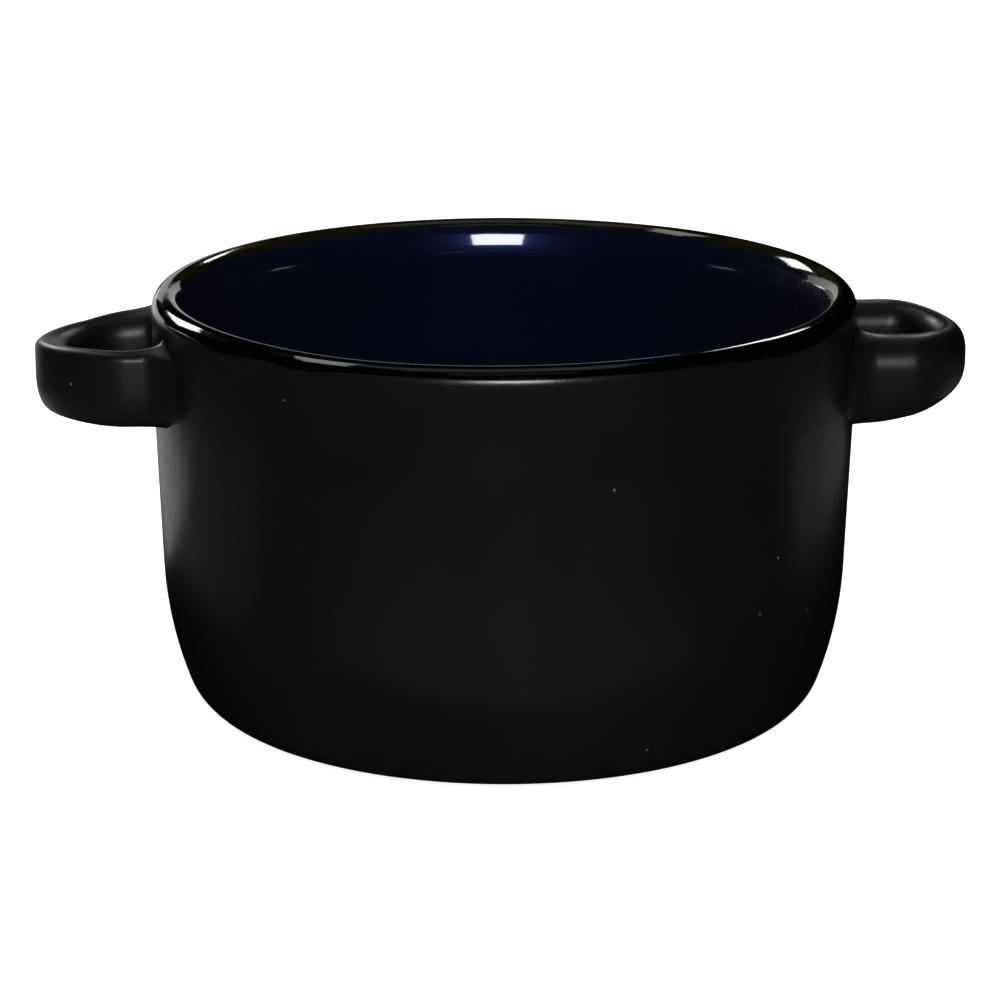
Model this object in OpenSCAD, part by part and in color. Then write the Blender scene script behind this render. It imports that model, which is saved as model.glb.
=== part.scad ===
// French onion soup crock: a round stoneware bowl with a loop handle on each side.
// Cobalt gloss glaze inside, matt black outside, a gloss black lip and a bare foot ring.
// The origin is on the table under the middle of the bowl, +Z is up, the handles lie along X.
// Sizes are of the finished ware, over the glaze, unless a comment says clay.

/* [Bowl] */
// Diameter over the lip
rim_d = 114; // [104:1:126]
// Height from the table to the top of the lip
bowl_h = 70.4; // [64:0.1:90]
// Round of the lip on the outside
lip_round = 2.6; // [2.2:0.1:3]
// Height over which the inside of the lip slopes in to the wall
lip_slope_h = 7; // [5:0.5:9]
// Thickness of the clay wall
wall_t = 5; // [4:0.1:5.6]
// Thickness of the clay floor
floor_t = 4; // [3:0.1:6]
// Depth below the top of the lip at which the wall starts to draw in
shoulder_drop = 16.4; // [12:0.2:24]
// Angle at which the wall draws in, in degrees
wall_taper = 2; // [1:0.25:3]
// Radius of the belly curve
belly_r = 60; // [45:1:75]
// Radius of the bottom corner
corner_r = 8; // [6:0.5:10]
// Slope at which the belly runs into the bottom corner, in degrees
corner_slope = 70; // [64:1:76]
// Radius of the corner inside, between wall and floor
inner_corner_r = 14; // [8:0.5:18]

/* [Foot] */
// Diameter of the foot ring
foot_d = 74; // [64:1:78]
// Width of the foot ring
foot_w = 6; // [4:0.5:8]
// Height of the foot ring
foot_h = 1.6; // [1.2:0.1:2.4]
// Depth of the base inside the foot ring
base_recess = 2.2; // [1.4:0.1:3]
// Bevel on the edges of the foot ring
foot_bevel = 0.5; // [0.2:0.1:0.8]

/* [Glaze] */
// Thickness of a glaze coat
glaze_t = 0.4; // [0.2:0.05:0.5]
// Depth below the top of the lip at which the gloss lip band ends outside, on the round
band_out = 1.5; // [1:0.1:2]
// Depth below the top of the lip at which the gloss lip band ends inside
band_in = 2.5; // [1:0.1:3.5]

/* [Handles] */
// How far a handle stands out from the lip
handle_reach = 18.9; // [17:0.1:23]
// Width of a handle loop, front to back
loop_w = 33.6; // [31:0.2:36]
// Thickness of the strap at the tip of the loop
strap_t = 4.8; // [4.4:0.1:5.4]
// Thickness of the strap at the widest place of the loop
leg_t = 6; // [5.4:0.1:6.6]
// Height of the strap
strap_h = 11.9; // [10:0.1:13]
// Depth of the middle of the strap below the top of the lip
handle_drop = 13.1; // [12.1:0.1:22]
// Round on the two top edges of the strap
top_round = 1.5; // [1:0.1:2]
// Height of the rounds on the two bottom edges of the strap
bottom_round = 4.2; // [2:0.1:5]
// Radius of the fillet between a leg and the bowl, outside the loop
leg_fillet = 3.5; // [2:0.5:6]
// Radius of the fillet between a leg and the bowl, inside the loop
loop_fillet = 3; // [1.5:0.5:4]
// How much a leg grows upwards where it meets the bowl
flare_rise = 2; // [0.8:0.1:2.4]
// How much a leg grows downwards where it meets the bowl
flare_fall = 2.4; // [0.8:0.1:3]
// How far those flares run out along the leg
flare_reach = 9.5; // [7:0.5:11]
// How far the right-hand handle leans, front leg down, in degrees
right_lean = 3; // [0:0.5:4]

/* [Hidden] */
$fn = 240;

// Steps in a curve of the lip, a corner curve or a quarter of the strap's edge
arc_steps = 10;
edge_steps = 5;

// Parts of the strap's thickness at the tip that its two bottom rounds take
outer_round_share = 0.6;
inner_round_share = 0.3;
// How far under the top and bottom of the strap the flares start, as a share of its rounds
flare_start_share = 0.5;

rim_r = rim_d / 2;
foot_r = foot_d / 2;
foot_inner_r = foot_r - foot_w;
inner_r = rim_r - wall_t - 2 * glaze_t;
// Lip: a small round outside its crown and a long slope inside it
crown_r = rim_r - lip_round;
lip_round_z = bowl_h - lip_round;
lip_slope_z = bowl_h - lip_slope_h;
lip_slope_w = crown_r - inner_r;
// Angles at which the gloss lip band starts on the round and ends on the slope
band_start = asin(1 - band_out / lip_round);
band_angle = acos(1 - band_in / lip_slope_h);
shoulder_z = bowl_h - shoulder_drop;

// Outside of the bowl: straight wall, tapered wall, belly curve and bottom corner
taper_slope = 90 - wall_taper;
belly_top_z = foot_h + corner_r * (1 - cos(corner_slope))
    + belly_r * (cos(corner_slope) - cos(taper_slope));
belly_top_r = rim_r - (shoulder_z - belly_top_z) * tan(wall_taper);
belly_centre = [belly_top_r - belly_r * sin(taper_slope), belly_top_z + belly_r * cos(taper_slope)];
corner_centre = belly_centre
    + (belly_r - corner_r) * [sin(corner_slope), -cos(corner_slope)];

// Inside of the bowl: straight wall, tapered wall, one corner curve and the floor
floor_z = base_recess + glaze_t + floor_t + glaze_t;
inner_corner_z = floor_z + inner_corner_r;
inner_corner_x = inner_r - (shoulder_z - inner_corner_z) * tan(wall_taper)
    - inner_corner_r / cos(wall_taper);

// Handle loop: a disc and, a little further out, the hole that leaves the strap
loop_r = loop_w / 2;
loop_x = rim_r + handle_reach - loop_r;
hole_r = loop_r - leg_t;
hole_x = rim_r + handle_reach - strap_t - hole_r;
handle_z = bowl_h - handle_drop;
// The leg fillets run this far into the wall, so that they meet it at an angle
fillet_bite = glaze_t;
flare_end_r = rim_r + flare_reach;
// Length of every overrun that a cut needs
overrun = 2 * wall_t;

// Points of an arc, given by the slope of its tangent, from one slope to another
function slope_arc(centre, radius, from, to, steps) = [
    for (i = [0:steps])
        let (s = from + (to - from) * i / steps)
        centre + radius * [sin(s), -cos(s)]
];

// Outside of the bowl, inset by a depth, from the underside up to a height on the straight wall
function outside(inset, top_z) = concat(
    slope_arc(corner_centre, corner_r - inset, 0, corner_slope, arc_steps),
    slope_arc(belly_centre, belly_r - inset, corner_slope, taper_slope, arc_steps),
    [[rim_r - inset, shoulder_z], [rim_r - inset, top_z]]
);

// Round outside the crown of the lip, inset by a depth, from one angle up to another
function lip_outside(inset, from, to) = [
    for (i = [0:arc_steps])
        let (a = from + (to - from) * i / arc_steps)
        [crown_r, lip_round_z] + (lip_round - inset) * [cos(a), sin(a)]
];

// Slope inside the crown of the lip, inset by a depth, from one angle down to another
function lip_inside(inset, from, to) = [
    for (i = [0:arc_steps])
        let (a = from + (to - from) * i / arc_steps)
        [crown_r - (lip_slope_w - inset) * sin(a), lip_slope_z + (lip_slope_h - inset) * cos(a)]
];

// The points of a list but its first, and the points in reverse
function rest(points) = [for (i = [1:len(points) - 1]) points[i]];
function reversed(points) = [for (i = [len(points) - 1:-1:0]) points[i]];

// The side of the bowl that the matt black covers, inset by a depth, from the bottom corner up
function matt_side(inset) = concat(
    outside(inset, lip_round_z),
    rest(lip_outside(inset, 0, band_start))
);

// The side that the gloss black covers, inset by a depth, from outside to inside
function band_side(inset) = concat(
    lip_outside(inset, band_start, 90),
    rest(lip_inside(inset, 0, band_angle))
);

// The side that the cobalt covers, set into the clay by a depth, from the middle of the floor up
function cobalt_side(depth) = concat(
    [[0, floor_z - depth]],
    slope_arc([inner_corner_x, inner_corner_z], inner_corner_r + depth, 0, taper_slope, arc_steps),
    [[inner_r + depth, shoulder_z]],
    reversed(lip_inside(depth, band_angle, 90))
);

// The whole outside of the bowl as a filled solid, inset by a depth
module envelope(inset) {
    rotate_extrude()
        polygon(concat(
            [[0, foot_h + inset]],
            matt_side(inset),
            rest(lip_outside(inset, band_start, 90)),
            [[0, bowl_h - inset]]
        ));
}

// A coat between two outlines that run the same way
module coat(outer, inner) {
    rotate_extrude()
        polygon(concat(outer, reversed(inner)));
}

// Coat on the whole outside, from the foot ring up to the gloss lip band
module exterior_coat() {
    foot_edge = [[foot_r, foot_h]];
    under_edge = [[foot_r, foot_h + glaze_t]];
    coat(concat(foot_edge, matt_side(0)), concat(under_edge, matt_side(glaze_t)));
}

// Quarter of an ellipse, from one of its ends to the next
function quarter(centre, half, from) = [
    for (i = [0:edge_steps])
        let (a = from + 90 * i / edge_steps)
        centre + [half[0] * cos(a), half[1] * sin(a)]
];

// Disc that fills the loop, with the outer rounds of the strap, inset by a depth
module loop_disc(inset) {
    bottom_w = strap_t * outer_round_share;
    bottom = [loop_r - bottom_w, bottom_round - strap_h / 2];
    top = [loop_r - top_round, strap_h / 2 - top_round];
    rotate_extrude()
        polygon(concat(
            [[0, inset - strap_h / 2]],
            quarter(bottom, [bottom_w - inset, bottom_round - inset], 270),
            quarter(top, [top_round - inset, top_round - inset], 0),
            [[0, strap_h / 2 - inset]]
        ));
}

// Tool that cuts the hole with the inner rounds of the strap, grown by a depth
module loop_hole(inset) {
    bottom_w = strap_t * inner_round_share;
    bottom = quarter(
        [hole_r + bottom_w, bottom_round - strap_h / 2],
        [bottom_w - inset, bottom_round - inset],
        180
    );
    top = quarter(
        [hole_r + top_round, strap_h / 2 - top_round],
        [top_round - inset, top_round - inset],
        90
    );
    // Each round runs on past the strap, so that the tool crosses its faces at an angle
    bottom_run = 2 * bottom[edge_steps] - bottom[edge_steps - 1];
    top_run = 2 * top[0] - top[1];
    rotate_extrude()
        polygon(concat(
            [[0, -strap_h], [bottom_run[0], -strap_h], bottom_run],
            reversed(bottom),
            reversed(top),
            [top_run, [top_run[0], strap_h], [0, strap_h]]
        ));
}

// Where two circles cross, one about the bowl's axis and one about a point on the X axis
function crossing(bowl_radius, loop_radius, centre_x) =
    let (x = (pow(bowl_radius, 2) - pow(loop_radius, 2) + pow(centre_x, 2)) / (2 * centre_x))
    [x, sqrt(pow(bowl_radius, 2) - pow(x, 2))];

// Plan of the legs with their fillets to the bowl, inset by a depth
module leg_plan(inset) {
    loop_centre = [loop_x, 0];
    hole_centre = [hole_x, 0];
    wall_r = rim_r - fillet_bite;
    block_r = loop_r - fillet_bite;
    block_hole_r = hole_r + fillet_bite;
    outer_centre = crossing(wall_r + leg_fillet, block_r + leg_fillet, loop_x);
    inner_centre = crossing(wall_r + loop_fillet, block_hole_r - loop_fillet, hole_x);
    in_wall = inner_centre * (rim_r - overrun) / norm(inner_centre);
    in_strap = hole_centre
        + (inner_centre - hole_centre) * (hole_r + strap_t / 2) / norm(inner_centre - hole_centre);
    difference() {
        union() {
            translate(loop_centre)
                circle(block_r - inset);
            difference() {
                polygon([[0, 0], [outer_centre[0], -outer_centre[1]], loop_centre, outer_centre]);
                for (side = [0, 1])
                    mirror([0, side])
                        translate(outer_centre)
                            circle(leg_fillet + inset);
            }
        }
        translate(hole_centre)
            circle(block_hole_r + inset);
    }
    for (side = [0, 1])
        mirror([0, side])
            difference() {
                polygon([inner_centre, in_wall, in_wall + in_strap - inner_centre, in_strap]);
                translate(inner_centre)
                    circle(loop_fillet + inset);
            }
}

// Heights that a leg may fill beside the bowl, growing towards the wall, inset by a depth
module flare_section(inset) {
    start_r = rim_r - overrun;
    top_start = strap_h / 2 - top_round * flare_start_share;
    bottom_start = strap_h / 2 - bottom_round * flare_start_share;
    function radius(i) = flare_end_r - (flare_end_r - start_r) * i / arc_steps;
    function growth(r) = pow(max(0, flare_end_r - r - inset / 2) / flare_reach, 2);
    function edge(start, end, r) = start - inset + (end - start) * growth(r);
    polygon(concat(
        [
            for (i = [0:arc_steps])
                [radius(i), edge(top_start, strap_h / 2 + flare_rise, radius(i))]
        ],
        [
            for (i = [arc_steps:-1:0])
                [radius(i), -edge(bottom_start, strap_h / 2 + flare_fall, radius(i))]
        ]
    ));
}

// The right-hand loop with its flared legs, inset by a depth and running on into the bowl
module loop_solid(inset) {
    translate([0, 0, handle_z]) {
        difference() {
            translate([loop_x, 0, 0])
                loop_disc(inset);
            translate([hole_x, 0, 0])
                loop_hole(inset);
        }
        intersection() {
            translate([0, 0, -strap_h])
                linear_extrude(2 * strap_h)
                    leg_plan(inset);
            rotate_extrude()
                flare_section(inset);
        }
    }
}

// Turns the right-hand pieces round to the left, or leans them about the handle's own middle
module on_side(side) {
    if (side == "left")
        rotate([0, 0, 180])
            children();
    else
        translate([0, 0, handle_z])
            rotate([right_lean, 0, 0])
                translate([0, 0, -handle_z])
                    children();
}

// Stoneware bowl: foot ring, recessed base, wall and round lip
module clay_body() {
    color("#b7a58a")
        rotate_extrude()
            polygon(concat(
                [
                    [0, base_recess + glaze_t],
                    [foot_inner_r, base_recess + glaze_t],
                    [foot_inner_r, foot_bevel],
                    [foot_inner_r + foot_bevel, 0],
                    [foot_r - foot_bevel, 0],
                    [foot_r, foot_bevel],
                    [foot_r, foot_h + glaze_t]
                ],
                matt_side(glaze_t),
                rest(band_side(glaze_t)),
                rest(reversed(cobalt_side(glaze_t)))
            ));
}

// Cobalt gloss coat inside, from the floor up to the lip band
module interior_glaze() {
    color("#070d2a")
        coat(cobalt_side(glaze_t), cobalt_side(0));
}

// Gloss black coat over the lip
module rim_glaze() {
    color("#0b0b0a")
        coat(band_side(0), band_side(glaze_t));
}

// Matt black coat outside, with a window under each leg
module exterior_glaze() {
    color("#1c1c1c")
        difference() {
            exterior_coat();
            for (side = ["left", "right"])
                on_side(side)
                    loop_solid(glaze_t);
        }
}

// Coat on the base inside the foot ring
module base_glaze() {
    color("#1c1c1c")
        translate([0, 0, base_recess])
            cylinder(h = glaze_t, r = foot_inner_r);
}

// Clay loop handle, standing on its slip joints
module handle(side) {
    color("#b7a58a")
        on_side(side)
            difference() {
                loop_solid(glaze_t);
                envelope(0);
            }
}

// Matt black coat round a handle
module handle_glaze(side) {
    color("#1c1c1c")
        on_side(side)
            difference() {
                loop_solid(0);
                loop_solid(glaze_t);
                envelope(0);
            }
}

// Slip that lutes one leg to the scored wall, flush with the glaze beside it
module slip_joint(side, front) {
    toward_front = side == "left" ? 1 : -1;
    color("#8f7f68")
        on_side(side)
            intersection() {
                exterior_coat();
                loop_solid(glaze_t);
                translate([0, (front ? toward_front : -toward_front) * rim_r, bowl_h / 2])
                    cube([2 * rim_d, rim_d, 2 * bowl_h], center = true);
            }
}

clay_body();
interior_glaze();
rim_glaze();
exterior_glaze();
base_glaze();
handle("left");  // left_handle
handle("right");  // right_handle
handle_glaze("left");  // left_handle_glaze
handle_glaze("right");  // right_handle_glaze
slip_joint("left", true);  // left_front_slip
slip_joint("left", false);  // left_rear_slip
slip_joint("right", true);  // right_front_slip
slip_joint("right", false);  // right_rear_slip
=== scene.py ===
from bisect import bisect_right
from math import atan2, cos, degrees, exp, hypot, pi, radians, sin, sqrt, tan

import bpy
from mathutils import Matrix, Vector, noise


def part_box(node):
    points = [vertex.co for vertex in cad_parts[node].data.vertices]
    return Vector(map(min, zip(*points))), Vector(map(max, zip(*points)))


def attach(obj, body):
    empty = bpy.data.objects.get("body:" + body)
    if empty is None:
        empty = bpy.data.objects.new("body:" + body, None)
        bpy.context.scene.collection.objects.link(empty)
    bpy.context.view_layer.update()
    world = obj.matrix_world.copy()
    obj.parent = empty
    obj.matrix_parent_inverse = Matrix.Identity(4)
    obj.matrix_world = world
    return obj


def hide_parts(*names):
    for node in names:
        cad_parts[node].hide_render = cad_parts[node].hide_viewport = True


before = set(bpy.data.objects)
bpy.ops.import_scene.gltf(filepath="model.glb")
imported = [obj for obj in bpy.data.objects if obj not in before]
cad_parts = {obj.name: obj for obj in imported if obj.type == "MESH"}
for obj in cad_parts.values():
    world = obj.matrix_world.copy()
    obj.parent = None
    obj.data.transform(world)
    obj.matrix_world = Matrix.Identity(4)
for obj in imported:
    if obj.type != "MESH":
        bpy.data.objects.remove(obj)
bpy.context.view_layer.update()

MM = 0.001

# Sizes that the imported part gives
RIM_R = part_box("exterior_glaze")[1].x / MM
BOWL_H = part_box("rim_glaze")[1].z / MM
FOOT_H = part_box("exterior_glaze")[0].z / MM
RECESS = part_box("base_glaze")[0].z / MM
FOOT_INNER_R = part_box("base_glaze")[1].x / MM
GLAZE_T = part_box("base_glaze")[1].z / MM - RECESS
FLOOR_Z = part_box("interior_glaze")[0].z / MM + GLAZE_T
TIP_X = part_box("right_handle_glaze")[1].x / MM

# Wall, belly and corner of the bowl, with its slopes in degrees
WALL_T = 5
WALL_TAPER = 2
SHOULDER_Z = 54
BELLY_R = 60
CORNER_R = 8
CORNER_SLOPE = 70
INNER_CORNER_R = 14

# Lip: a round outside the crown, and a quarter of an oval down to the wall inside it
LIP_ROUND = 2.6
LIP_SLOPE_H = 7

# Foot ring, with the height of a row of points on each of its sides
FOOT_W = 6
FOOT_R = FOOT_INNER_R + FOOT_W
FOOT_BEVEL = 0.5
FOOT_ROW_Z = {"inner": 1.4, "outer": 1}
MENISCUS = 0.6

# Runs along the skin from the crown at which the gloss band ends outside and inside
BAND_OUT = 2.95
BAND_IN = 3.4
# Places where the gloss band hangs lower: azimuth, extra run and half width in degrees
BAND_RUNS = [
    (47, 1.25, 13), (-37, 0.7, 6), (-54, 0.7, 7), (-80, 0.5, 9),
    (95, 0.9, 12), (128, 0.4, 10), (165, 0.8, 14), (205, 0.5, 11), (240, 0.9, 12),
]
# Ripple of the band's edge: size, radius of its walk through the noise, and that walk's height
RIPPLE = 0.12
RIPPLE_WALK_R = 6
RIPPLE_WALK_Z = 3.7
# The matt coat's top edge: how deep and how wide it rounds off, the share of that width over
# which its last rows lie, and how much they crowd towards the edge
EDGE_T = 0.06
EDGE_W = 0.2
EDGE_SHARE = 0.9
EDGE_EASE = 0.6
# How fast the band rises from half that depth to its full thickness, per mm
BAND_RISE = 2

# Places where the rim stands higher or lower, given as the band's are. It grows from a height
# up to the crown with a power.
RIM_SWELLS = [(-30, -0.32, 24), (40, 0.1, 20)]
SWELL_Z = 58
SWELL_POWER = 1.5
# Stray of the wall from round: size, radius of its walk, height of a noise cell, height of its rise
WOBBLE = 0.1
WOBBLE_WALK_R = 1.3
WOBBLE_CELL_H = 45
WOBBLE_RISE_H = 30

# Loops in plan, with the powers of their rounded outlines. A loop bends up to a share of its half.
LOOP_CENTRE_X = {"left": 61, "right": 64.5}
LOOP_HALF_W = 17.4
LOOP_POWER = 1.66
HOLE_POWER = 1.95
BEND_SHARE = 0.62
LEG_END_X = 48
# Their straps' thickness at the tip and at the legs, height, and height of their middle
STRAP_T = 5.4
LEG_T = {"left": 6.2, "right": 8.8}
STRAP_H = {"left": 12.4, "right": 14}
HANDLE_Z = {"left": 57.25, "right": 57.05}
# The strap's crest, as a share of its width from the hole's side, and how deep both sides round off
CREST_SHARE = {"left": 0.7, "right": 0.45}
TOP_HOLE_H = {"left": 3.6, "right": 4.1}
TOP_OUTER_H = {"left": 1.6, "right": 5}
# Its widest place, above its middle, and the rounds below that
BELLY_Z = 0.6
OUTER_BOTTOM_W = 3.2
INNER_BOTTOM_W = 1.6
BOTTOM_POWER = 2.5
# Lean of a loop in degrees, positive with its rear leg up
LEAN = {"left": -2.5, "right": 0}
# How far the top of the left loop's rear leg rises, inside a place along it and over a run
LEG_RISE = {"left": 1.8, "right": 0}
LEG_RISE_X = 68
LEG_RISE_RUN = 12
# How far the strap thins towards its tip: from below, past a place along it and over a run
TIP_LIFT = {"left": 0.1, "right": 2.5}
TIP_LIFT_X = 57.5
TIP_LIFT_RUN = 16.4
# and from above, over a share of the half loop
TIP_DROP = {"left": 0.5, "right": 0.8}
TIP_DROP_SHARE = 0.5
# Fillets to the wall by the way that the strap's skin faces: reach, rise and first angle
FILLETS = {"out": (7, 5.2, 35), "in": (3, 3, 10), "up": (6, 1.6, 0), "down": (5, 0.4, 0)}
# How deep the loops' coats reach into the wall's coat
SINK = 0.05

# Mesh steps, with the length of the matt coat's fine stretch below its edge and the run at
# which the clay's wall starts
ROUND_STEPS = 360
SKIN_RUN = 0.1
CORNER_STEPS = 24
BELLY_STEPS = 16
LIP_STEPS = 12
LIP_SLOPE_STEPS = 24
MATT_STEPS = 100
MATT_FINE_RUN = 5
MATT_FINE_STEPS = 24
MATT_EDGE_STEPS = 8
BAND_STEPS = 90
BAND_BACK_STEPS = 40
COBALT_STEPS = 120
BACK_STEPS = 60
CLAY_STEPS = 240
CLAY_START = 1
BASE_STEPS = 12
BASE_COAT_STEPS = 10
BEVEL_STEPS = 6
FOOT_STEPS = 5
MENISCUS_STEPS = 8
QUARTER_STEPS = 16
HOLE_BOTTOM_STEPS = 12
STRAP_STEPS = 30
FILLET_STEPS = 12
HALVINGS = 22
SHARP_ANGLE = 38

# Colours of the matt coat, the lip's coat, the cobalt coat and the two clays
MATT_DARK = (0.0024, 0.0024, 0.0024, 1)
MATT_PALE = (0.0028, 0.0028, 0.0028, 1)
MATT_SPECK = (0.05, 0.05, 0.05, 1)
LIP_BLACK = (0.0006, 0.0006, 0.0006, 1)
LIP_OLIVE = (0.0055, 0.0056, 0.0009, 1)
LIP_HONEY = (0.02, 0.0142, 0.0026, 1)
COBALT = (0.0024, 0.0033, 0.0118, 1)
COBALT_DEEP = (0.002, 0.0027, 0.0096, 1)
COBALT_PINHOLE = (0.012, 0.02, 0.05, 1)
# A blue, soft lobe lies under the cobalt's clear gloss
COBALT_LOBE = (0.048, 0.085, 0.34, 1)
BUFF = (0.45, 0.37, 0.26, 1)
BUFF_DARK = (0.34, 0.27, 0.18, 1)
SLIP = (0.33, 0.27, 0.19, 1)
SLIP_DARK = (0.27, 0.22, 0.15, 1)
CLAY_IRON = (0.06, 0.035, 0.02, 1)
CLAY_GRIT = (0.62, 0.55, 0.44, 1)

# Lamps, in metres. Softboxes: azimuth, elevation, size, radiance and distance from the rim.
SOFTBOXES = {
    "key": (-1.8, 20, (0.4, 0.36), 22, 1.2),
    "back_left": (-147, 24, (0.3, 0.22), 12, 1),
    "back_right": (156, 31.5, (0.2, 0.12), 10, 1),
    "top_left": (-122, 59, (0.5, 0.16), 3.2, 1),
    "ceiling": (180, 80, (0.7, 0.5), 0.4, 1),
    "ceiling_front": (-1, 70, (0.5, 0.16), 0.26, 1),
}
# Reflectors that stand behind the ware: place, aim, size and radiance
REFLECTORS = {
    "low_left": ((-0.155, 0.23, 0.04), (-0.057, 0, 0.066), (0.12, 0.08), 0.9),
    "backdrop": ((-0.04, 0.3, 0.105), (-0.04, 0, 0.105), (0.2, 0.07), 0.7),
}
# Cards that lie on the table: azimuth, reach, size and radiance
CARDS = {
    "card_near": (-136, 0.175, (0.08, 0.12), 0.47),
    "card_left": (-112, 0.19, (0.14, 0.2), 0.09),
    "card_right": (107, 0.19, (0.1, 0.12), 0.16),
    "card_front": (-4, 0.115, (0.16, 0.08), 0.12),
}
CARD_Z = 0.003
FLOOR_HALF = 3.0
FLOOR_GLOW = 0.84
WORLD_GLOW = 0.5

# Camera
CAMERA_PLACE = (-43.39, -570.40, 197.87)
CAMERA_AIM = (-0.71, -0.43, 34.31)
LENS = 129.996
SENSOR_W = 36


def clamped(value):
    """The value, kept between 0 and 1."""
    return min(1, max(0, value))


def arc(centre, radius, start, end, steps, side=1):
    """Points of an arc with their outward normals, by the slope of its tangent in degrees."""
    made = []
    for i in range(steps + 1):
        slope = radians(start + (end - start) * i / steps)
        normal = (side * sin(slope), -side * cos(slope))
        made.append((centre[0] + radius * sin(slope), centre[1] - radius * cos(slope), *normal))
    return made


def skin_points():
    """The bowl's whole skin as (r, z, normal), from the foot over the crown to the floor's middle."""
    lean = radians(WALL_TAPER)
    slope = radians(CORNER_SLOPE)
    upright = 90 - WALL_TAPER
    belly_top_z = (FOOT_H + CORNER_R * (1 - cos(slope))
                   + BELLY_R * (cos(slope) - cos(radians(upright))))
    belly_top_r = RIM_R - (SHOULDER_Z - belly_top_z) * tan(lean)
    belly = (belly_top_r - BELLY_R * sin(radians(upright)),
             belly_top_z + BELLY_R * cos(radians(upright)))
    gap = BELLY_R - CORNER_R
    corner = (belly[0] + gap * sin(slope), belly[1] - gap * cos(slope))
    inner_r = RIM_R - WALL_T - 2 * GLAZE_T
    inner_z = FLOOR_Z + INNER_CORNER_R
    inner_x = inner_r - (SHOULDER_Z - inner_z) * tan(lean) - INNER_CORNER_R / cos(lean)
    crown_r = RIM_R - LIP_ROUND
    slope_w = crown_r - inner_r
    points = [(FOOT_R, FOOT_H, 0, -1)]
    points += arc(corner, CORNER_R, 0, CORNER_SLOPE, CORNER_STEPS)
    points += arc(belly, BELLY_R, CORNER_SLOPE, upright, BELLY_STEPS)
    points += [(RIM_R, SHOULDER_Z, 1, 0)]
    for i in range(LIP_STEPS + 1):
        a = radians(90 * i / LIP_STEPS)
        points.append((crown_r + LIP_ROUND * cos(a), BOWL_H - LIP_ROUND + LIP_ROUND * sin(a),
                       cos(a), sin(a)))
    for i in range(1, LIP_SLOPE_STEPS + 1):
        a = radians(90 * i / LIP_SLOPE_STEPS)
        normal = Vector((-sin(a) / slope_w, cos(a) / LIP_SLOPE_H)).normalized()
        points.append((crown_r - slope_w * sin(a), BOWL_H - LIP_SLOPE_H + LIP_SLOPE_H * cos(a),
                       normal.x, normal.y))
    points += [(inner_r, SHOULDER_Z, -1, 0)]
    points += arc((inner_x, inner_z), INNER_CORNER_R, upright, 0, CORNER_STEPS, side=-1)
    points += [(0, FLOOR_Z, 0, 1)]
    return points


def resampled(points, step):
    """The same path at even steps, and the length of its steps."""
    lengths = [0]
    for a, b in zip(points, points[1:]):
        lengths.append(lengths[-1] + hypot(b[0] - a[0], b[1] - a[1]))
    count = int(lengths[-1] / step)
    even = []
    for i in range(count + 1):
        at = lengths[-1] * i / count
        k = min(bisect_right(lengths, at), len(points) - 1)
        span = lengths[k] - lengths[k - 1]
        share = (at - lengths[k - 1]) / span if span else 0
        even.append([a + (b - a) * share for a, b in zip(points[k - 1], points[k])])
    return even, lengths[-1] / count


SKIN, SKIN_STEP = resampled(skin_points(), SKIN_RUN)
SKIN_END = SKIN_STEP * (len(SKIN) - 1)
CROWN_S = SKIN_STEP * max(range(len(SKIN)), key=lambda i: SKIN[i][1])
INSIDE_EDGE = CROWN_S + BAND_IN

# The skin from the corner up to the crown, where it faces outwards, as heights and radii
FACING_OUT = 0.2
OUTSIDE = [p for p in SKIN[: int(CROWN_S / SKIN_STEP)] if p[2] > FACING_OUT]
OUTSIDE_Z = [p[1] for p in OUTSIDE]


def skin(s, inset=0):
    """Point (r, z) of the bowl's skin at a run s along it, set in by a depth."""
    at = max(s / SKIN_STEP, 0)
    i = min(int(at), len(SKIN) - 2)
    r, z, nr, nz = (a + (b - a) * min(at - i, 1) for a, b in zip(SKIN[i], SKIN[i + 1]))
    size = hypot(nr, nz)
    return max(0, r - inset * nr / size), z - inset * nz / size


def wobble(azimuth, z):
    """How far the wall strays from round."""
    x, y = WOBBLE_WALK_R * cos(azimuth), WOBBLE_WALK_R * sin(azimuth)
    stray = noise.noise(Vector((x, y, z / WOBBLE_CELL_H)))
    return WOBBLE * stray * clamped((z - FOOT_H) / WOBBLE_RISE_H)


def swells(azimuth, places):
    """Sum of smooth swells round the bowl. Azimuth 0 of the places is the front, right positive."""
    total = 0
    for centre, size, width in places:
        off = (degrees(azimuth) + 90 - centre + 180) % 360 - 180
        total += size * exp(-((off / width) ** 2))
    return total


def rim_rise(azimuth, z):
    """How far the rim strays from level: all of it at the crown, none of it low on the wall."""
    return swells(azimuth, RIM_SWELLS) * clamped((z - SWELL_Z) / (BOWL_H - SWELL_Z)) ** SWELL_POWER


def wall_r(azimuth, z):
    """Radius of the outside of the bowl at a height."""
    i = min(max(bisect_right(OUTSIDE_Z, z), 1), len(OUTSIDE) - 1)
    (r0, z0), (r1, z1) = OUTSIDE[i - 1][:2], OUTSIDE[i][:2]
    return r0 + (r1 - r0) * (z - z0) / (z1 - z0) + wobble(azimuth, z)


def outside_edge(azimuth):
    """Run along the skin at which the matt coat ends and the gloss band starts."""
    place = Vector((RIPPLE_WALK_R * cos(azimuth), RIPPLE_WALK_R * sin(azimuth), RIPPLE_WALK_Z))
    return CROWN_S - (BAND_OUT + RIPPLE * noise.noise(place) + swells(azimuth, BAND_RUNS))


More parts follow.
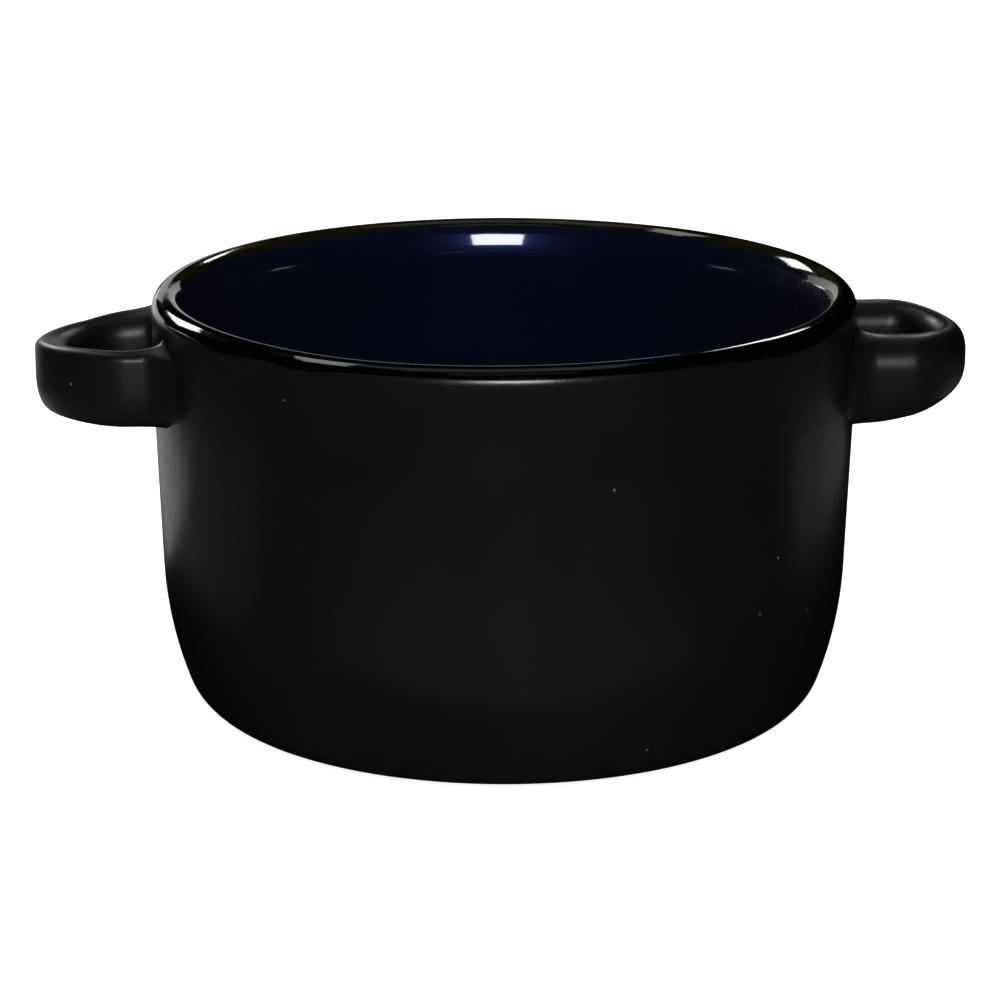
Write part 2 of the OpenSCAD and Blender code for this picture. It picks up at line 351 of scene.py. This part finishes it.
def piece(name, verts, faces, node, material, marks=()):
    """A mesh object in the frame that stands for a node of the part."""
    mesh = bpy.data.meshes.new(name)
    mesh.from_pydata([Vector(v) * MM for v in verts], [], faces)
    mesh.shade_smooth()
    mesh.set_sharp_from_angle(angle=radians(SHARP_ANGLE))
    mesh.materials.append(material)
    if marks:
        mesh.attributes.new("run", "FLOAT", "POINT").data.foreach_set("value", marks)
    made = bpy.data.objects.new(name, mesh)
    bpy.context.scene.collection.objects.link(made)
    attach(made, "root")
    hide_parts(node)


def turned(name, outline, node, material, closed=True):
    """A turned piece. outline(azimuth) gives its (r, z) points, a loop or a path between poles.

    A third value of the points, where they have one, marks them for the material."""
    verts, faces, rings, marks = [], [], [], []
    angles = [2 * pi * i / ROUND_STEPS for i in range(ROUND_STEPS)]
    outlines = [outline(a) for a in angles]
    count = len(outlines[0])
    poles = [] if closed else [0, count - 1]
    for k in range(count):
        if k in poles:
            verts.append((0, 0, outlines[0][k][1]))
            rings.append([len(verts) - 1] * ROUND_STEPS)
            continue
        rings.append(range(len(verts), len(verts) + ROUND_STEPS))
        for a, points in zip(angles, outlines):
            r, z, *mark = points[k]
            r += wobble(a, z)
            verts.append((r * cos(a), r * sin(a), z + rim_rise(a, z)))
            marks += mark
    for k in range(count if closed else count - 1):
        low, high = rings[k], rings[(k + 1) % count]
        for i in range(ROUND_STEPS):
            j = (i + 1) % ROUND_STEPS
            corners = [low[i], low[j], high[j], high[i]]
            faces.append(list(dict.fromkeys(corners)))
    piece(name, verts, faces, node, material, marks)


def runs(start, end, count, ease=0):
    """Even runs from start to end. ease crowds them towards the end."""
    return [start + (end - start) * (1 - (1 - i / count) ** (1 + ease)) for i in range(count + 1)]


def matt_outline(azimuth):
    """The matt coat from the foot up to its rounded top edge, and back along the clay."""
    edge = outside_edge(azimuth)
    fine = edge - MATT_FINE_RUN
    places = runs(0, fine, MATT_STEPS)
    places += runs(fine + EDGE_W, edge - EDGE_W, MATT_FINE_STEPS)
    places += runs(edge - EDGE_SHARE * EDGE_W, edge, MATT_EDGE_STEPS, EDGE_EASE)
    outer = []
    for s in places:
        fall = 1 - sqrt(max(0, 1 - max(0, 1 - (edge - s) / EDGE_W) ** 2))
        outer.append(skin(s, EDGE_T * fall))
    inner = [skin(s, GLAZE_T) for s in runs(edge, 0, BACK_STEPS)]
    inner[-1] = (FOOT_R, FOOT_H + GLAZE_T)
    return outer + inner


def band_outline(azimuth):
    """The gloss coat over the lip, and back along the clay.

    Its points are marked with their run from the crown: below 0 outside, above 0 inside."""
    start = outside_edge(azimuth)
    outer = [(*skin(s, EDGE_T / 2 * exp(BAND_RISE * (start - s))), s - CROWN_S)
             for s in runs(start, INSIDE_EDGE, BAND_STEPS)]
    inner = [(*skin(s, GLAZE_T), s - CROWN_S) for s in runs(INSIDE_EDGE, start, BAND_BACK_STEPS)]
    return outer + inner


def cobalt_outline(azimuth):
    """The cobalt coat from the floor's middle out and up to the band, and back along the clay."""
    face = [skin(s) for s in runs(SKIN_END, INSIDE_EDGE, COBALT_STEPS)]
    back = [skin(s, GLAZE_T) for s in runs(INSIDE_EDGE, SKIN_END, BACK_STEPS)]
    return [(0, FLOOR_Z)] + face[1:] + back[:-1] + [(0, FLOOR_Z - GLAZE_T)]


def clay_outline(azimuth):
    """The clay bowl: base, foot ring, wall, lip and floor."""
    base_z = RECESS + GLAZE_T
    foot = [(FOOT_INNER_R * i / BASE_STEPS, base_z) for i in range(BASE_STEPS + 1)]
    foot += [(FOOT_INNER_R, FOOT_ROW_Z["inner"]), (FOOT_INNER_R, FOOT_BEVEL)]
    for i in range(1, BEVEL_STEPS + 1):
        a = radians(90 * i / BEVEL_STEPS)
        foot.append((FOOT_INNER_R + FOOT_BEVEL * (1 - cos(a)), FOOT_BEVEL * (1 - sin(a))))
    for i in range(1, FOOT_STEPS):
        foot.append((FOOT_INNER_R + FOOT_BEVEL + (FOOT_W - 2 * FOOT_BEVEL) * i / FOOT_STEPS, 0))
    for i in range(BEVEL_STEPS + 1):
        a = radians(90 * i / BEVEL_STEPS)
        foot.append((FOOT_R - FOOT_BEVEL * (1 - sin(a)), FOOT_BEVEL * (1 - cos(a))))
    foot += [(FOOT_R, FOOT_ROW_Z["outer"]), (FOOT_R, FOOT_H + GLAZE_T)]
    wall = [skin(s, GLAZE_T) for s in runs(CLAY_START, SKIN_END, CLAY_STEPS)]
    return foot + wall[:-1] + [(0, FLOOR_Z - GLAZE_T)]


def base_outline(azimuth):
    """The coat on the base, with a little meniscus down the foot ring."""
    edge = FOOT_INNER_R - MENISCUS
    face = [(edge * i / BASE_COAT_STEPS, RECESS) for i in range(BASE_COAT_STEPS)]
    for i in range(MENISCUS_STEPS + 1):
        a = radians(90 * i / MENISCUS_STEPS)
        face.append((edge + MENISCUS * sin(a), RECESS - MENISCUS * (1 - cos(a))))
    back = [(FOOT_INNER_R * i / BASE_COAT_STEPS, RECESS + GLAZE_T)
            for i in range(BASE_COAT_STEPS, -1, -1)]
    return face + back


def oval_quarter(centre, width, height, first, steps=QUARTER_STEPS, power=2.0):
    """A quarter of an oval, clockwise from an angle in degrees. A higher power squares it."""
    made = []
    for i in range(steps + 1):
        a = radians(first - 90 * i / steps)
        c, s = cos(a), sin(a)
        made.append((centre[0] + width * abs(c) ** (2 / power) * (1 if c > 0 else -1),
                     centre[1] + height * abs(s) ** (2 / power) * (1 if s > 0 else -1)))
    return made


def strap_outline(hand, width):
    """The strap's section at a width, as points (u, z) from the crest round the outer side.

    u runs across the strap from the hole's side to the outer side. Four quarters of ovals and two
    upright sides make the outline."""
    half = STRAP_H[hand] / 2
    low = BELLY_Z + half
    crest = width * CREST_SHARE[hand]
    outer_h, hole_h = TOP_OUTER_H[hand], TOP_HOLE_H[hand]
    made = oval_quarter((crest, half - outer_h), width - crest, outer_h, 90)
    made += oval_quarter((width - OUTER_BOTTOM_W, BELLY_Z), OUTER_BOTTOM_W, low, 0,
                         power=BOTTOM_POWER)
    made += oval_quarter((INNER_BOTTOM_W, BELLY_Z), INNER_BOTTOM_W, low, 270, HOLE_BOTTOM_STEPS,
                         BOTTOM_POWER)
    made += oval_quarter((crest, half - hole_h), crest, hole_h, 180)
    return [Vector(p) for p in made[:-1]]


def strap_section(hand):
    """The lines along the strap: u at width 0, change of u per width, z, normal u and normal z."""
    narrow, wide = strap_outline(hand, STRAP_T), strap_outline(hand, LEG_T[hand])
    section = []
    for k, (a, b) in enumerate(zip(narrow, wide)):
        before, after = narrow[k - 1], narrow[(k + 1) % len(narrow)]
        along = (after - before).normalized()
        rate = (b.x - a.x) / (LEG_T[hand] - STRAP_T)
        section.append((a.x - rate * STRAP_T, rate, a.y, -along.y, along.x))
    return section


def plan(hand, t):
    """Hole side and outer side of the strap in plan. t is 0 at the tip and 1 inside the bowl."""
    angle = radians(90 * min(1, t / BEND_SHARE))
    middle = LOOP_CENTRE_X[hand]
    back = max(0, t - BEND_SHARE) / (1 - BEND_SHARE) * (middle - LEG_END_X)
    reach = TIP_X - middle

    def point(a, b, power):
        return Vector((middle + a * cos(angle) ** (2 / power) - back,
                       b * sin(angle) ** (2 / power)))

    return (point(reach - STRAP_T, LOOP_HALF_W - LEG_T[hand], HOLE_POWER),
            point(reach, LOOP_HALF_W, LOOP_POWER))


def strap_point(hand, line, t, leg, side_rise=0, level_rise=0):
    """A point on a line of the strap, raised off it sideways and in height.

    It is in the right loop's place. The left loop is turned there, with its rear leg at -1."""
    u0, rate, z, nu, nz = line
    hole, outer = plan(hand, t)
    across = outer - hole
    width = across.length
    across /= width
    place = hole + across * (u0 + rate * width + side_rise * nu)
    y = leg * place.y
    share = (z - BELLY_Z) / (STRAP_H[hand] / 2)
    if share > 0:
        z -= share * TIP_DROP[hand] * max(0, 1 - (t / TIP_DROP_SHARE) ** 2) ** 2
        if leg < 0:
            z += share * LEG_RISE[hand] * clamped((LEG_RISE_X - place.x) / LEG_RISE_RUN)
    else:
        near = clamped((place.x - TIP_LIFT_X) / TIP_LIFT_RUN)
        z -= share * TIP_LIFT[hand] * near * near * (3 - 2 * near)
    z += level_rise * nz
    lean = radians(LEAN[hand] if hand == "right" else -LEAN[hand])
    return Vector((place.x, y * cos(lean) - z * sin(lean),
                   HANDLE_Z[hand] + y * sin(lean) + z * cos(lean)))


def off_wall(p):
    """Distance of a point from the bowl's wall."""
    return hypot(p.x, p.y) - wall_r(atan2(p.y, p.x), p.z)


def where(hand, line, leg, gap, low=0.0):
    """The t at which a line of the strap is a gap off the wall."""
    high = 1.0
    for _ in range(HALVINGS):
        t = (low + high) / 2
        if off_wall(strap_point(hand, line, t, leg)) > gap:
            low = t
        else:
            high = t
    return (low + high) / 2


def fillet_sizes(line):
    """Reach, side rise, level rise and first angle of the fillet in which a line ends."""
    nu, nz = line[3:]
    parts = {"out": max(0, nu) ** 2, "in": max(0, -nu) ** 2,
             "up": max(0, nz) ** 2, "down": max(0, -nz) ** 2}
    reach, first = (sum(parts[d] * FILLETS[d][i] for d in parts) for i in (0, 2))
    side_rise = sum(parts[d] * FILLETS[d][1] for d in ("out", "in"))
    level_rise = sum(parts[d] * FILLETS[d][1] for d in ("up", "down"))
    return reach, side_rise, level_rise, first


def half_line(hand, line, leg, inset, sink):
    """Points of a line of the strap from the tip along one leg, and of its fillet to the wall."""
    reach, side_rise, level_rise, first = fillet_sizes(line)
    t = start = where(hand, line, leg, reach * (1 - sin(radians(first))))
    made = [strap_point(hand, line, start * i / STRAP_STEPS, leg, -inset, -inset)
            for i in range(STRAP_STEPS + 1)]
    for i in range(1, FILLET_STEPS + 1):
        turn = radians(first + (90 - first) * i / FILLET_STEPS)
        gap = reach * (1 - sin(turn)) if i < FILLET_STEPS else -sink
        t = where(hand, line, leg, gap, t)
        grown = cos(radians(first)) - cos(turn)
        p = strap_point(hand, line, t, leg, side_rise * grown - inset, level_rise * grown - inset)
        flat = Vector((p.x, p.y, 0)).normalized()
        made.append(p - flat * (off_wall(p) - gap))
    return made


def strap_rings(hand, inset, sink):
    """Rings of a whole loop from the end of one leg round the tip to the end of the other."""
    legs = []
    for leg in (1, -1):
        lines = [half_line(hand, line, leg, inset, sink) for line in strap_section(hand)]
        legs.append([list(ring) for ring in zip(*lines)])
    rings = legs[0][::-1] + legs[1][1:]
    if hand == "left":
        rings = [[Vector((-p.x, -p.y, p.z)) for p in ring] for ring in rings]
    return rings


def tube(rings, verts, faces, inward=False):
    """Adds a tube of rings. Gives the indices of its first and last ring."""
    start, count = len(verts), len(rings[0])
    for ring in rings:
        verts.extend(ring)
    for i in range(len(rings) - 1):
        for k in range(count):
            a = start + i * count + k
            b = start + i * count + (k + 1) % count
            face = [a, b, b + count, a + count]
            faces.append(face[::-1] if inward else face)
    last = start + (len(rings) - 1) * count
    return list(range(start, start + count)), list(range(last, last + count))


def bridge(ring_a, ring_b, faces):
    """Joins two rings with a strip of faces."""
    count = len(ring_a)
    for k in range(count):
        j = (k + 1) % count
        faces.append([ring_a[k], ring_a[j], ring_b[j], ring_b[k]])


def middle_of(points):
    """Middle of a ring of points."""
    return sum(points, Vector()) / len(points)


def cap(ring, verts, faces, flip):
    """Closes a ring with a fan about its middle."""
    verts.append(middle_of([verts[i] for i in ring]))
    for k in range(len(ring)):
        face = [ring[k], ring[(k + 1) % len(ring)], len(verts) - 1]
        faces.append(face[::-1] if flip else face)


def capped(name, rings, node, material):
    """A solid piece: a tube of rings, closed at both ends."""
    verts, faces = [], []
    first, last = tube(rings, verts, faces)
    cap(first, verts, faces, True)
    cap(last, verts, faces, False)
    piece(name, verts, faces, node, material)


def build_handle(hand, clay, slip, matt):
    """The clay loop, its coat of glaze and the two slip pads that hold it."""
    verts, faces = [], []
    first, last = tube(strap_rings(hand, 0, SINK), verts, faces)
    inner_first, inner_last = tube(strap_rings(hand, GLAZE_T, SINK), verts, faces, inward=True)
    bridge(inner_first, first, faces)
    bridge(last, inner_last, faces)
    piece(hand + "_loop_coat", verts, faces, hand + "_handle_glaze", matt)

    clay_rings = strap_rings(hand, GLAZE_T, 0)
    capped(hand + "_loop", clay_rings, hand + "_handle", clay)
    for ring in (clay_rings[0], clay_rings[-1]):
        middle = middle_of(ring)
        flat = Vector((middle.x, middle.y, 0)).normalized()
        under = [p - flat * GLAZE_T for p in ring]
        place = hand + ("_front" if middle.y < 0 else "_rear")
        capped(place + "_pad", [ring, under], place + "_slip", slip)


class Shader:
    """A material with its principled shader and short calls to add nodes."""

    def __init__(self, name):
        self.material = bpy.data.materials.new(name)
        self.material.use_nodes = True
        self.tree = self.material.node_tree
        self.bsdf = self.tree.nodes["Principled BSDF"]
        self.coords = self.add("ShaderNodeTexCoord").outputs["Object"]

    def add(self, kind, settings=None, **inputs):
        """A node with its settings, and its inputs given by name."""
        node = self.tree.nodes.new(kind)
        for key, value in (settings or {}).items():
            setattr(node, key, value)
        for key, value in inputs.items():
            self.put(node.inputs[key], value)
        return node

    def put(self, socket, value):
        """Links an output to a socket, or sets the socket's own value."""
        if isinstance(value, bpy.types.NodeSocket):
            self.tree.links.new(value, socket)
        else:
            socket.default_value = value

    def set(self, **inputs):
        """Sets inputs of the principled shader, with _ for the spaces in their names."""
        for key, value in inputs.items():
            self.put(self.bsdf.inputs[key.replace("_", " ")], value)

    def noise(self, scale, detail):
        """Cloudy noise through the object."""
        return self.add("ShaderNodeTexNoise", Vector=self.coords, Scale=scale, Detail=detail,
                        Roughness=0.55).outputs["Fac"]

    def ramp(self, value, low, high, out_low=0.0, out_high=1.0):
        """The value's smooth way from low to high, given as a value from out_low to out_high."""
        node = self.add("ShaderNodeMapRange", {"interpolation_type": "SMOOTHSTEP"}, Value=value)
        for i, v in enumerate((low, high, out_low, out_high), 1):
            node.inputs[i].default_value = v
        return node.outputs["Result"]

    def math(self, operation, a, b):
        """The outcome of an operation on two values."""
        node = self.add("ShaderNodeMath", {"operation": operation})
        self.put(node.inputs[0], a)
        self.put(node.inputs[1], b)
        return node.outputs[0]

    def mix(self, factor, a, b):
        """Colour a at factor 0, b at 1, and their blend in between."""
        node = self.add("ShaderNodeMix", {"data_type": "RGBA"})
        self.put(node.inputs["Factor"], factor)
        self.put(node.inputs["A"], a)
        self.put(node.inputs["B"], b)
        return node.outputs["Result"]

    def specks(self, scale, size, amount):
        """Small round specks: 1 inside a speck, on the given share of the cells."""
        cells = self.add("ShaderNodeTexVoronoi", Vector=self.coords, Scale=scale)
        inside = self.ramp(cells.outputs["Distance"], size, size * 0.6)
        split = self.add("ShaderNodeSeparateColor", Color=cells.outputs["Color"])
        chosen = self.math("LESS_THAN", split.outputs[0], amount)
        return self.math("MULTIPLY", inside, chosen)

    def bump(self, height, strength, distance, under=None):
        """The normal that a relief gives, with another bump under it where one is given."""
        node = self.add("ShaderNodeBump", Height=height, Strength=strength, Distance=distance)
        if under is not None:
            self.put(node.inputs["Normal"], under)
        return node.outputs["Normal"]


def matt_glaze(name, smooth, rough, gloss):
    """Satin matt black, with a roughness between two values and a strength of its gloss."""
    shader = Shader(name)
    cloud = shader.noise(scale=70, detail=5)
    fine = shader.noise(scale=1500, detail=3)
    colour = shader.mix(shader.ramp(cloud, 0.3, 0.7), MATT_DARK, MATT_PALE)
    colour = shader.mix(shader.specks(scale=330, size=0.1, amount=0.05), colour, MATT_SPECK)
    normal = shader.bump(shader.noise(scale=420, detail=3), strength=0.15, distance=0.0002)
    normal = shader.bump(fine, strength=0.15, distance=0.00006, under=normal)
    shader.set(Base_Color=colour, Roughness=shader.ramp(cloud, 0.3, 0.7, smooth, rough),
               Specular_IOR_Level=gloss, Normal=normal)
    return shader.material


def lip_glaze():
    """Gloss black outside, olive and honey where it thins over the crown, cobalt further in."""
    shader = Shader("gloss black lip glaze")
    run = shader.add("ShaderNodeAttribute", {"attribute_name": "run"}).outputs["Fac"]
    stray = shader.math("SUBTRACT", shader.noise(scale=70, detail=3), 0.5)
    uneven = shader.math("MULTIPLY", stray, 2.0)
    blue = shader.ramp(shader.math("ADD", run, uneven), 1.7, 3.0)
    patchy = shader.ramp(shader.noise(scale=110, detail=3), 0.3, 0.6, 0.5, 1.0)
    olive = shader.math("MULTIPLY", shader.ramp(run, -0.6, 0.5), patchy)
    crown = shader.math("MULTIPLY", shader.ramp(run, -0.4, 0.5), shader.ramp(run, 1.6, 0.8))
    pooled = shader.ramp(shader.noise(scale=42, detail=3), 0.46, 0.62)
    honey = shader.math("MULTIPLY", crown, pooled)
    colour = shader.mix(olive, LIP_BLACK, LIP_OLIVE)
    colour = shader.mix(honey, colour, LIP_HONEY)
    colour = shader.mix(blue, colour, COBALT)
    normal = shader.bump(shader.noise(scale=260, detail=2), strength=0.1, distance=0.0002)
    cloud = shader.noise(scale=300, detail=3)
    shader.set(Base_Color=colour, Roughness=shader.ramp(cloud, 0.3, 0.7, 0.05, 0.1),
               Specular_IOR_Level=0.5, Normal=normal)
    return shader.material


def cobalt_glaze():
    """Deep cobalt under a clear gloss, with a few pinholes."""
    shader = Shader("cobalt gloss glaze")
    depth = shader.ramp(shader.noise(scale=55, detail=5), 0.3, 0.72)
    colour = shader.mix(depth, COBALT_DEEP, COBALT)
    colour = shader.mix(shader.specks(scale=420, size=0.1, amount=0.03), colour, COBALT_PINHOLE)
    normal = shader.bump(shader.noise(scale=180, detail=2), strength=0.06, distance=0.0003)
    cloud = shader.noise(scale=240, detail=3)
    shader.set(Base_Color=colour, Roughness=shader.ramp(cloud, 0.3, 0.7, 0.26, 0.3),
               Specular_IOR_Level=0.5, Specular_Tint=COBALT_LOBE, Normal=normal,
               Coat_Weight=1.0, Coat_Roughness=0.05, Coat_Normal=normal)
    return shader.material


def fired_clay(name, base, dark):
    """Bare fired clay: cloudy, with iron specks, pale grit and a fine grain."""
    shader = Shader(name)
    cloud = shader.noise(scale=60, detail=6)
    grain = shader.noise(scale=2200, detail=4)
    colour = shader.mix(shader.ramp(cloud, 0.3, 0.7), dark, base)
    colour = shader.mix(shader.specks(scale=700, size=0.2, amount=0.12), colour, CLAY_IRON)
    colour = shader.mix(shader.specks(scale=1100, size=0.18, amount=0.08), colour, CLAY_GRIT)
    normal = shader.bump(grain, strength=0.5, distance=0.00012)
    pits = shader.noise(scale=500, detail=3)
    normal = shader.bump(pits, strength=0.3, distance=0.0003, under=normal)
    shader.set(Base_Color=colour, Roughness=shader.ramp(grain, 0.3, 0.7, 0.78, 0.92),
               Specular_IOR_Level=0.25, Normal=normal)
    return shader.material


def build_bowl(clay, matt, lip, cobalt):
    """The clay bowl and its four coats."""
    turned("bowl_clay", clay_outline, "clay_body", clay, closed=False)
    turned("outside_coat", matt_outline, "exterior_glaze", matt)
    turned("lip_coat", band_outline, "rim_glaze", lip)
    turned("inside_coat", cobalt_outline, "interior_glaze", cobalt, closed=False)
    turned("base_coat", base_outline, "base_glaze", matt, closed=False)


def direction(azimuth, elevation):
    """Way towards a light. Azimuth 0 is the front, positive to the right."""
    a, e = radians(azimuth), radians(elevation)
    return Vector((sin(a) * cos(e), -cos(a) * cos(e), sin(e)))


def lamp(name, place, aim, size, radiance):
    """A flat soft lamp or reflector of a given size, hidden from the camera."""
    light = bpy.data.lights.new(name, "AREA")
    light.shape = "RECTANGLE"
    light.size, light.size_y = size
    light.energy = radiance * pi * size[0] * size[1]
    made = bpy.data.objects.new(name, light)
    bpy.context.scene.collection.objects.link(made)
    made.location = place
    made.rotation_euler = (Vector(aim) - Vector(place)).to_track_quat("-Z", "Y").to_euler()
    made.visible_camera = False


def build_floor():
    """A pale table that the ware's gloss doesn't mirror."""
    half = FLOOR_HALF
    mesh = bpy.data.meshes.new("floor")
    mesh.from_pydata([(-half, -half, 0), (half, -half, 0), (half, half, 0), (-half, half, 0)], [],
                     [(0, 1, 2, 3)])
    floor = bpy.data.objects.new("floor", mesh)
    bpy.context.scene.collection.objects.link(floor)
    shader = Shader("pale table")
    shader.set(Base_Color=(0.8, 0.8, 0.8, 1), Roughness=0.8, Specular_IOR_Level=0.0,
               Emission_Color=(1, 1, 1, 1), Emission_Strength=FLOOR_GLOW)
    mesh.materials.append(shader.material)
    floor.visible_glossy = False


def build_world():
    """Even white light from all round, which the ware's gloss doesn't mirror."""
    world = bpy.data.worlds.new("studio")
    world.use_nodes = True
    background = world.node_tree.nodes["Background"]
    background.inputs["Color"].default_value = (1, 1, 1, 1)
    background.inputs["Strength"].default_value = WORLD_GLOW
    world.cycles_visibility.glossy = False
    bpy.context.scene.world = world
    bpy.context.scene.view_settings.view_transform = "Standard"


def build_lamps():
    """The softboxes, the reflectors and the cards."""
    rim = Vector((0, 0, BOWL_H * MM))
    for name, (azimuth, elevation, size, radiance, distance) in SOFTBOXES.items():
        lamp(name, rim + direction(azimuth, elevation) * distance, rim, size, radiance)
    for name, (place, aim, size, radiance) in REFLECTORS.items():
        lamp(name, place, aim, size, radiance)
    for name, (azimuth, reach, size, radiance) in CARDS.items():
        place = direction(azimuth, 0) * reach + Vector((0, 0, CARD_Z))
        lamp(name, place, place + Vector((0, 0, 1)), size, radiance)


def build_camera():
    """The camera at the photograph's angle."""
    lens = bpy.data.cameras.new("camera")
    lens.sensor_width = SENSOR_W
    lens.lens = LENS
    made = bpy.data.objects.new("camera", lens)
    bpy.context.scene.collection.objects.link(made)
    made.location = Vector(CAMERA_PLACE) * MM
    aim = Vector(CAMERA_AIM) * MM
    made.rotation_euler = (aim - made.location).to_track_quat("-Z", "Y").to_euler()
    bpy.context.scene.camera = made


buff = fired_clay("bare stoneware", BUFF, BUFF_DARK)
slip_clay = fired_clay("slip", SLIP, SLIP_DARK)
matt_black = matt_glaze("matt black glaze", smooth=0.24, rough=0.27, gloss=0.38)
matt_loops = matt_glaze("matt black glaze on the loops", smooth=0.36, rough=0.4, gloss=0.28)
build_camera()
build_bowl(buff, matt_black, lip_glaze(), cobalt_glaze())
for hand in ("left", "right"):
    build_handle(hand, buff, slip_clay, matt_loops)
build_floor()
build_world()
build_lamps()
